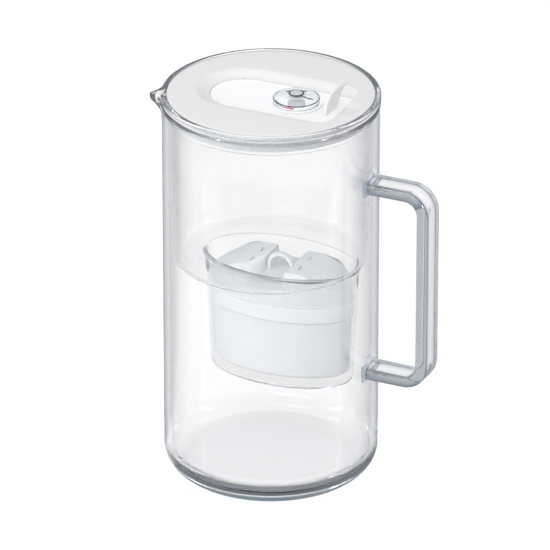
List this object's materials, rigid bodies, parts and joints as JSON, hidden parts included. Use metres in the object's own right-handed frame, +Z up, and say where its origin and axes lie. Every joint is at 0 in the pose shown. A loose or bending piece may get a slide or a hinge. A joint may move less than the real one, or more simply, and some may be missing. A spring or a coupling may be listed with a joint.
{
  "type": "water filter pitcher with flip lid",
  "caption": "Clear jug with a side handle, a hanging funnel that holds an oval filter cartridge, and a round white lid whose dished flap flips up and carries a change indicator.",
  "frame": {"origin": "centre of the base, on the table", "axes": "+Z up, +X from the jug's axis to the handle, +Y to the far side of the jug"},
  "size_m": [0.1755, 0.1336, 0.2625],
  "materials": {
    "clear_jug": "polished, clear",
    "clear_handle": "polished, clear",
    "bond_pad": "clear bonding pad",
    "clear_funnel": "glossy, clear",
    "white_cartridge": "satin white",
    "cartridge_band": "soft white",
    "filter_mesh": "fine woven mesh",
    "filter_granules": "loose granules",
    "white_lid": "satin white",
    "soft_seal": "soft, pale grey",
    "steel_pin": "drawn",
    "clear_window": "glossy, clear",
    "dial_white": "satin pale grey",
    "display_grey": "glossy grey",
    "black_trim": "satin black",
    "scale_blue": "satin blue grey",
    "marker_red": "satin pink red",
    "circuit_green": "solder mask",
    "switch_metal": "pressed sheet",
    "cell_metal": "bright",
    "button_grey": "satin pale grey"
  },
  "bodies": {
    "jug": {"jug_body": "clear_jug", "handle": "clear_handle", "upper_handle_pad": "bond_pad", "lower_handle_pad": "bond_pad"},
    "funnel": {"funnel": "clear_funnel"},
    "cartridge": {"cartridge_shell": "white_cartridge", "cartridge_cap": "white_cartridge", "cartridge_seal": "cartridge_band", "cartridge_pull": "white_cartridge", "cartridge_inlet_mesh": "filter_mesh", "cartridge_granules": "filter_granules", "cartridge_outlet_mesh": "filter_mesh"},
    "lid": {"lid_cover": "white_lid", "lid_skirt": "white_lid", "lid_seal": "soft_seal", "hinge_pin": "steel_pin"},
    "flap": {"fill_flap": "white_lid", "indicator_housing": "white_lid", "indicator_window": "clear_window", "indicator_dial": "dial_white", "indicator_display": "display_grey", "indicator_ring": "black_trim", "indicator_pointer": "black_trim", "indicator_scale": "scale_blue", "indicator_marker": "marker_red", "indicator_board": "circuit_green", "indicator_switch": "switch_metal", "indicator_cell": "cell_metal"},
    "button": {"indicator_button": "button_grey"}
  },
  "joints": [
    {"name": "funnel_lift", "type": "slide", "parent": "jug", "child": "funnel", "axis": [0, 0, 1], "range_m": [0, 0.19]},
    {"name": "lid_lift", "type": "slide", "parent": "funnel", "child": "lid", "axis": [0, 0, 1], "range_m": [0, 0.06]},
    {"name": "cartridge_lift", "type": "slide", "parent": "funnel", "child": "cartridge", "axis": [0, 0, 1], "range_m": [0, 0.085]},
    {"name": "flap_hinge", "type": "hinge", "parent": "lid", "child": "flap", "pos_m": [-0.027, 0, 0.24595], "axis": [0, -1, 0], "range_deg": [0, 95]},
    {"name": "button_press", "type": "slide", "parent": "flap", "child": "button", "axis": [0, 0, -1], "range_m": [0, 0.0005], "stiffness_N_per_m": 400, "springref_m": -0.0003}
  ]
}
